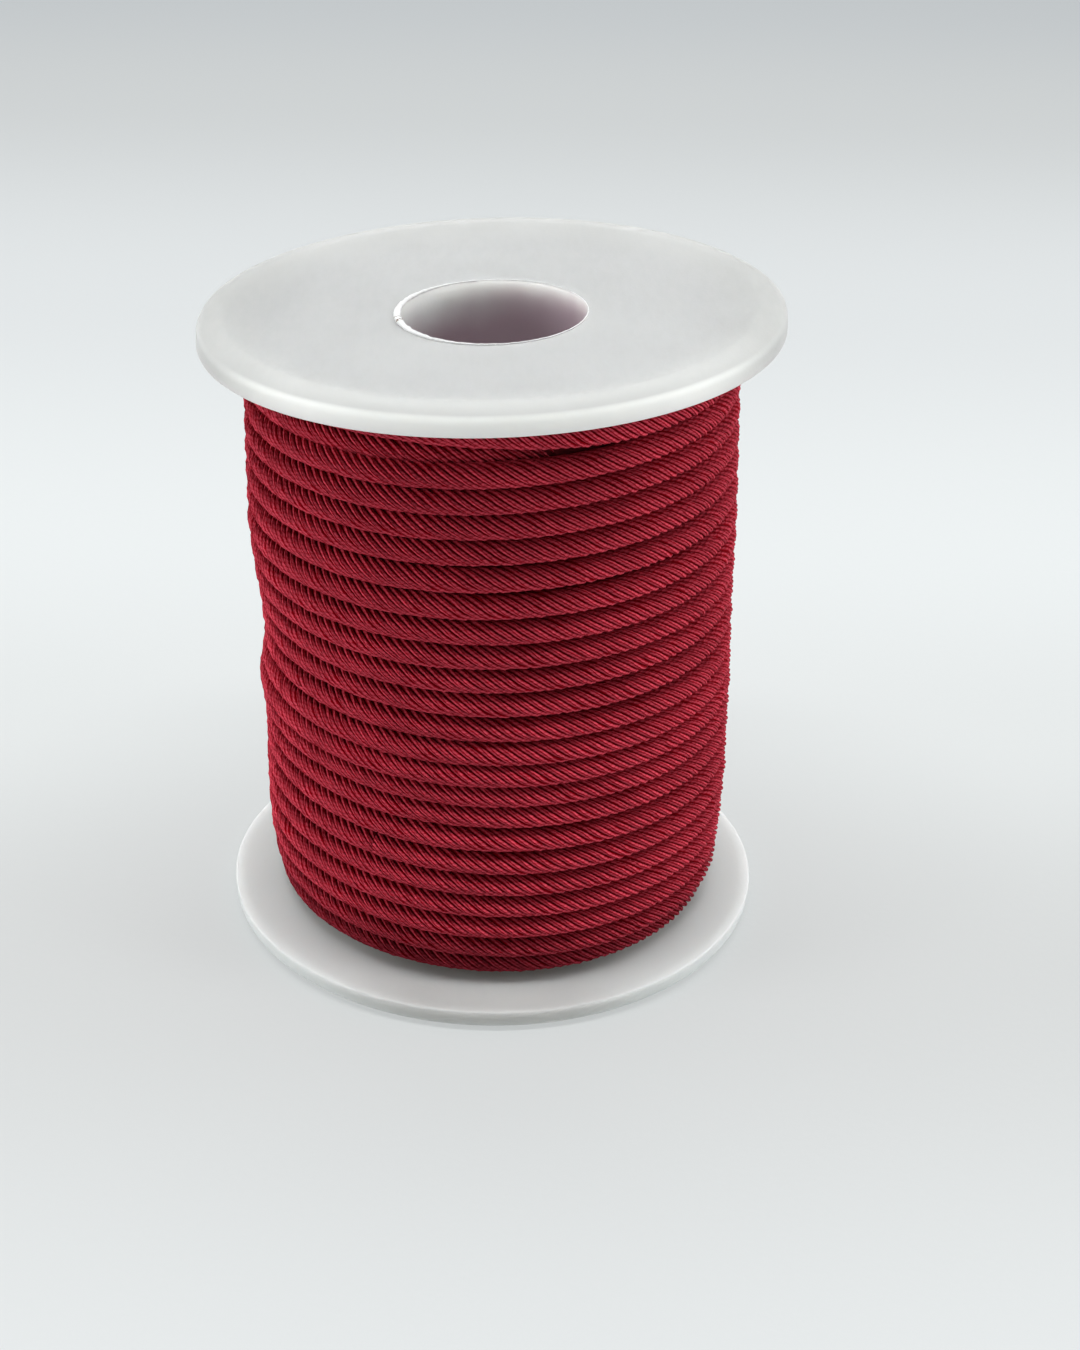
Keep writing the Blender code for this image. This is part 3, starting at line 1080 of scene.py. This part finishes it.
def build_lights():
    """A light tent: soft panels at both sides and overhead, and pale surroundings."""
    for panel in PANELS:
        area_light(*panel)
    world = bpy.data.worlds.new("studio_surroundings")
    world.use_nodes = True
    background = world.node_tree.nodes["Background"]
    background.inputs["Color"].default_value = SURROUNDINGS
    background.inputs["Strength"].default_value = SURROUNDINGS_STRENGTH
    bpy.context.scene.world = world
    bpy.context.scene.view_settings.view_transform = "Standard"


# Camera, worked out from the photograph's flange outlines

IMAGE_WIDTH = 1080
IMAGE_HEIGHT = 1350
FOCAL_PIXELS = 2000.0
SENSOR_HEIGHT = 36.0
CAMERA_BACK = 222.17
CAMERA_UP = 142.81
CAMERA_YAW = 0.02494
CAMERA_PITCH = 0.48024
CAMERA_ROLL = 0.02417


def build_camera():
    """The photograph's view: lens and place in millimetres, angles in radians."""
    data = bpy.data.cameras.new("photo_camera")
    data.sensor_fit = "VERTICAL"
    data.sensor_height = SENSOR_HEIGHT
    data.sensor_width = SENSOR_HEIGHT * IMAGE_WIDTH / IMAGE_HEIGHT
    data.lens = FOCAL_PIXELS * SENSOR_HEIGHT / IMAGE_HEIGHT
    data.clip_start = 0.01
    data.clip_end = 20.0
    camera = bpy.data.objects.new("photo_camera", data)
    bpy.context.scene.collection.objects.link(camera)

    ahead = Vector((
        math.sin(CAMERA_YAW) * math.cos(CAMERA_PITCH),
        math.cos(CAMERA_YAW) * math.cos(CAMERA_PITCH),
        -math.sin(CAMERA_PITCH),
    ))
    level_right = Vector((math.cos(CAMERA_YAW), -math.sin(CAMERA_YAW), 0.0))
    level_up = level_right.cross(ahead)
    right = math.cos(CAMERA_ROLL) * level_right + math.sin(CAMERA_ROLL) * level_up
    up = -math.sin(CAMERA_ROLL) * level_right + math.cos(CAMERA_ROLL) * level_up
    turn = Matrix((right, up, -ahead)).transposed()
    place = Vector((
        -0.5 * LEAN_X * MM,
        (-0.5 * LEAN_Y - CAMERA_BACK) * MM,
        (LIP_HEIGHT + CAMERA_UP) * MM,
    ))
    camera.matrix_world = Matrix.Translation(place) @ turn.to_4x4()
    bpy.context.scene.camera = camera


def dress(piece, material, slot, *nodes):
    """Give a piece its material and body, and hide the nodes that it stands for; its slot is not
    used.
    """
    piece.data.materials.clear()
    piece.data.materials.append(material)
    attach(piece, "root")
    if nodes:
        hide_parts(*nodes)


build_camera()
red = cord_material()
for cord_piece in build_cord():
    dress(cord_piece, red, "red_cord", "cord_winding")
dress(build_under_layer(), under_material(), "red_cord", "cord_winding")
dress(build_spool(), plastic_material(), "white_plastic", "spool")
dress(build_burr(), burr_material(), "white_plastic")

floor = build_floor()
floor.data.materials.append(floor_material())
build_lights()

bpy.context.view_layer.update()
